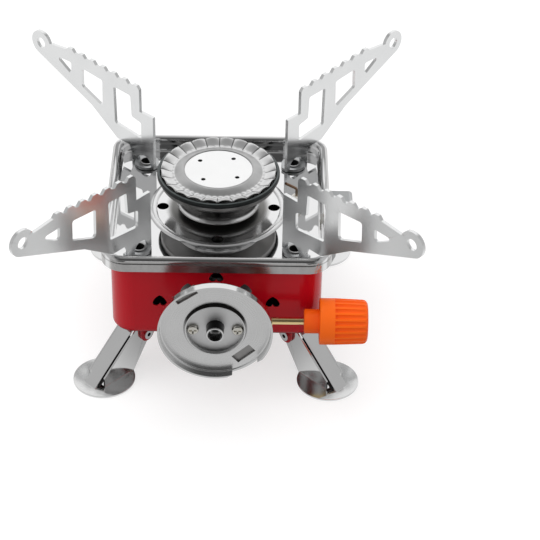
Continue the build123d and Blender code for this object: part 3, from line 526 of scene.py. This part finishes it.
CROWN_PROFILE = (  # radius, height, and the depths of the flutes and of the beads at their inner ends
    (14.3, 75.15, 0, 0), (15.2, 74.95, 0, 0), (16.4, 74.55, 0, 0), (17.6, 74.1, 0, 0),
    (18.4, 73.75, 0, 0.04), (18.8, 73.58, 0, 0.24), (19.1, 73.5, 0.02, 0.34), (19.4, 73.47, 0.06, 0.2),
    (19.8, 73.5, 0.12, 0), (20.6, 73.68, 0.22, 0), (21.4, 73.93, 0.34, 0), (22.2, 74.18, 0.5, 0),
    (23.0, 74.38, 0.72, 0), (23.8, 74.5, 0.95, 0), (24.4, 74.55, 1.05, 0),
)
CROWN_SHEET = 0.3
TONGUE_SHEET = 0.4
TONGUE_GAP = 0.3  # behind the dish's sheet


def piece(name, vertices, faces, finish, sheet=0.0, body="stove", smooth=True):
    """A mesh that rides a body, given a thickness if it is sheet."""
    mesh = bpy.data.meshes.new(name)
    mesh.from_pydata([Vector(vertex) * MM for vertex in vertices], [], faces)
    mesh.polygons.foreach_set("use_smooth", [smooth] * len(mesh.polygons))
    mesh.materials.append(finish.material)
    thing = bpy.data.objects.new(name, mesh)
    bpy.context.scene.collection.objects.link(thing)
    if sheet:
        shell = thing.modifiers.new("sheet", "SOLIDIFY")
        shell.thickness = sheet * MM
        shell.offset = 1.0
    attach(thing, body)
    return thing


def on_burner(radius, height, angle):
    """A point round the burner's axis."""
    return radius * math.cos(angle), radius * math.sin(angle), height


def on_gas_line(radius, forward, angle):
    """A point round the gas inlet's axis."""
    return radius * math.cos(angle), -forward, GAS_HEIGHT + radius * math.sin(angle)


def turned(name, section, finish, place=on_burner):
    """A closed ring turned about an axis, from the radius and height of each corner of its section."""
    vertices, faces = [], []
    for radius, height in section:
        for step in range(ROUND):
            vertices.append(place(radius, height, 2 * math.pi * step / ROUND))
    for corner in range(len(section)):
        low, high = corner * ROUND, (corner + 1) % len(section) * ROUND
        for step in range(ROUND):
            after = (step + 1) % ROUND
            faces.append((low + step, low + after, high + after, high + step))
    return piece(name, vertices, faces, finish)


def flame_crown(finish):
    """The pleated flame ring: flutes that swell into arches at their outer ends, with creases between."""
    count = FLUTES * FLUTE_STEPS
    vertices, faces = [], []
    for radius, height, depth, bead in CROWN_PROFILE:
        for step in range(count):
            angle = 2 * math.pi * step / count
            arch = abs(math.sin(FLUTES / 2 * angle)) ** 0.6
            lift = depth * arch + bead * abs(math.sin(FLUTES * angle))
            vertices.append(on_burner(radius - 0.4 * depth * arch, height + lift, angle))
    for ring in range(len(CROWN_PROFILE) - 1):
        low, high = ring * count, (ring + 1) * count
        for step in range(count):
            after = (step + 1) % count
            faces.append((low + step, high + step, high + after, low + after))
    return piece("flame_crown", vertices, faces, finish, CROWN_SHEET)


def plate(name, corners, thickness, finish, body="stove"):
    """A small flat plate: the four corners of its face, and its thickness behind them."""
    across, along = Vector(corners[1]) - Vector(corners[0]), Vector(corners[3]) - Vector(corners[0])
    depth = across.cross(along).normalized() * thickness
    back = [tuple(Vector(corner) - depth) for corner in corners]
    sides = [(step, 4 + step, 4 + (step + 1) % 4, (step + 1) % 4) for step in range(4)]
    faces = [(0, 1, 2, 3), (7, 6, 5, 4), *sides]
    piece(name, [*corners, *back], faces, finish, body=body, smooth=False)


def tongue(name, reach, angle, width, length):
    """A plate just behind one of the dish's slots, at some distance and angle from the inlet."""
    out = Vector((math.cos(math.radians(angle)), 0, math.sin(math.radians(angle))))
    round_axis = Vector((-out.z, 0, out.x))
    middle = Vector((0, DISH_FACE + DISH_SHEET + TONGUE_GAP, GAS_HEIGHT)) + out * reach
    corners = []
    for u, v in ((-1, -1), (1, -1), (1, 1), (-1, 1)):
        corners.append(tuple(middle + out * width / 2 * u + round_axis * length / 2 * v))
    plate(name, corners, TONGUE_SHEET, HEATED_AND_SHADED)


def web_strip(name, leg, sides, reaches, drop, thickness, finish):
    """A strip along a leg's web, between two distances from its middle line, some way under its face."""
    angle = math.radians(LEGS[leg][0])
    out = Vector((math.cos(angle), math.sin(angle), 0))
    left = Vector((-out.y, out.x, 0))
    slope = (LEG_TOP[1] - LEG_TIP[1]) / (LEG_TIP[0] - LEG_TOP[0])
    low, high = sorted(sides)
    start, end = reaches
    corners = []
    for reach, side in ((end, low), (end, high), (start, high), (start, low)):
        height = (LEG_TIP[0] - reach) * slope - drop * math.hypot(1, slope)
        corners.append(tuple(out * reach + left * side + Vector((0, 0, height))))
    plate(f"{name}_{leg}", corners, thickness, finish, leg)


def soften(names, width):
    """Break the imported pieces' sharp edges with a narrow round, so that they catch the light."""
    for name in names:
        weld = nodes[name].modifiers.new("weld", "WELD")
        weld.merge_threshold = 0.002 * MM
        bevel = nodes[name].modifiers.new("edge_round", "BEVEL")
        bevel.width = width * MM
        bevel.segments = 2
        bevel.limit_method = "ANGLE"
        bevel.angle_limit = math.radians(40)
        bevel.use_clamp_overlap = True
        nodes[name].modifiers.new("normals", "WEIGHTED_NORMAL").keep_sharp = True


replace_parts(turned("port_ring", RING_SECTION, blackened_steel()), "burner_ring")
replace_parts(turned("burner_foot", FOOT_SECTION, rolled_foot()), "burner_base")
turned("dish_step", STEP_SECTION, stepped_steel(), on_gas_line)
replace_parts(flame_crown(pressed_crown()), "flame_ring")
tongue("upper_tongue", reach=19.9, angle=126, width=4.0, length=11.0)
tongue("lower_tongue", reach=17.2, angle=-48, width=5.2, length=10.4)
for leg, (_, slit) in LEGS.items():
    open_side = (slit * (WEB_HALF - 0.6), slit * (WALL_HALF - 0.05))
    shut_side = (-slit * (WEB_HALF - 0.1), -slit * (WALL_HALF + 0.1))
    # painted shade: a black strip under each open slit
    web_strip("slit_shade_backing", leg, open_side, (54.2, 72.6), drop=1.1, thickness=0.25, finish=SHADE)
    web_strip("slit_filler", leg, shut_side, (53.2, 70.6), drop=0.02, thickness=0.6, finish=LEG)
soften([*SUPPORTS, *LEGS], 0.18)


# Stage: a white table under a light tent whose front is open

TABLE_HALF = 4.0
SHADOW_PATCH_BEHIND = 22 * MM  # the painted shadow's middle, behind the stove's
TENT_FRONT = 0.09
TENT_OVERHEAD = 0.27  # more than the front
TENT_BACK = 0.72  # more than overhead
TENT_SIDES = 0.55
TENT_MATT = 0.85  # what lights the pieces that don't mirror it
STOVE_MIDDLE = (0, 0, 0.05)


def ray(wiring, kind):
    """1 for one kind of ray, and 0 for the rest."""
    return wiring.node("ShaderNodeLightPath", None, (), f"Is {kind} Ray")


def off_mirror(wiring):
    """1 for a ray that was reflected by metal or went through glass."""
    return ray(wiring, "Glossy").math("MAXIMUM", ray(wiring, "Transmission"))


def table():
    """A pale table that goes white to the camera and keeps the stove's shadow.

    It has a soft painted shadow under the stove, and painted shade that dims its reflections close to it
    and in front of it.
    """
    mesh = bpy.data.meshes.new("table")
    half = TABLE_HALF
    corners = [(-half, -half, 0), (half, -half, 0), (half, half, 0), (-half, half, 0)]
    mesh.from_pydata(corners, [], [(0, 1, 2, 3)])
    top = bpy.data.objects.new("table", mesh)
    bpy.context.scene.collection.objects.link(top)
    material = bpy.data.materials.new("table_white")
    material.use_nodes = True
    wiring = Wiring(material.node_tree)
    wiring.tree.nodes.remove(wiring.tree.nodes["Principled BSDF"])
    across, along = wiring.axes(wiring.node("ShaderNodeTexCoord", None, (), "Object"))[:2]
    # painted shadow: a soft dark patch on the table under the stove
    lit = across.hypot(along - SHADOW_PATCH_BEHIND).past(12, 42)
    lift = wiring.node("ShaderNodeEmission", None, {"Strength": 0.60 * lit * ray(wiring, "Camera")})
    shade = wiring.node("ShaderNodeCombineColor", None, [0.08 + 0.37 * lit] * 3)
    matt = wiring.node("ShaderNodeBsdfDiffuse", None, {"Color": shade})
    direct = wiring.node("ShaderNodeAddShader", None, [matt, lift])
    # painted shade: reflections of the table dim close to the stove and in front of it
    shaded_near = 1 - across.hypot(along).past(35, 75)
    level = (0.62 + 0.33 * along.past(-100, -45)) * (1 - 0.6 * shaded_near)
    mirrored = wiring.node("ShaderNodeEmission", None, {"Strength": level})
    surface = wiring.node("ShaderNodeMixShader", None, [off_mirror(wiring), direct, mirrored])
    wiring.feed(wiring.tree.nodes["Material Output"].inputs["Surface"], surface)
    mesh.materials.append(material)


def tent():
    """White behind, grey overhead and at the sides, and dark in front where the camera stands."""
    world = bpy.data.worlds.new("tent")
    bpy.context.scene.world = world
    world.use_nodes = True
    wiring = Wiring(world.node_tree)
    across, along, height = wiring.axes(wiring.node("ShaderNodeTexCoord", None, (), "Generated"))
    turn = height.math("ARCTAN2", along)  # 0 at the back, a quarter turn overhead and half a turn in front
    back = 1 - turn.above(math.radians(48), math.radians(72))
    overhead = 1 - turn.above(math.radians(98), math.radians(122))
    sides = abs(across).above(0.40, 0.80)
    arch = TENT_FRONT + TENT_OVERHEAD * overhead + TENT_BACK * back
    reflected = arch * (1 - sides) + TENT_SIDES * sides
    camera_ray, mirrored = ray(wiring, "Camera"), off_mirror(wiring)
    level = camera_ray + mirrored * reflected + (1 - camera_ray - mirrored) * TENT_MATT
    wiring.feed(wiring.tree.nodes["Background"].inputs["Strength"], level)
    wiring.feed(wiring.tree.nodes["Background"].inputs["Color"], (1, 1, 1, 1))


def softbox(name, place, size, power):
    """A square area light aimed at the stove."""
    lamp = bpy.data.lights.new(name, "AREA")
    lamp.shape = "SQUARE"
    lamp.size = size
    lamp.energy = power
    box = bpy.data.objects.new(name, lamp)
    box.location = place
    box.rotation_euler = (Vector(STOVE_MIDDLE) - Vector(place)).to_track_quat("-Z", "Y").to_euler()
    box.visible_glossy = False  # metal shows the tent instead
    bpy.context.scene.collection.objects.link(box)


def camera():
    """The photo's view: its place and its three directions were fitted to the stove's outlines."""
    lens = bpy.data.cameras.new("camera")
    lens.lens = 124.7
    lens.sensor_width = 36.0
    lens.clip_start = 0.01
    right = (0.99984, -0.00096, 0.01752)
    up = (-0.01349, 0.59605, 0.80283)
    back = (-0.01121, -0.80294, 0.59595)
    place = (0.0133, -0.65306, 0.50775)
    view = bpy.data.objects.new("camera", lens)
    view.matrix_world = Matrix.Translation(place) @ Matrix((right, up, back)).transposed().to_4x4()
    bpy.context.scene.collection.objects.link(view)
    bpy.context.scene.camera = view


table()
tent()
softbox("top_box", place=(-0.1, 0.25, 1.1), size=0.9, power=4.0)
softbox("left_box", place=(-1.0, -0.25, 0.6), size=0.6, power=2.0)
camera()
bpy.context.scene.view_settings.view_transform = "Standard"
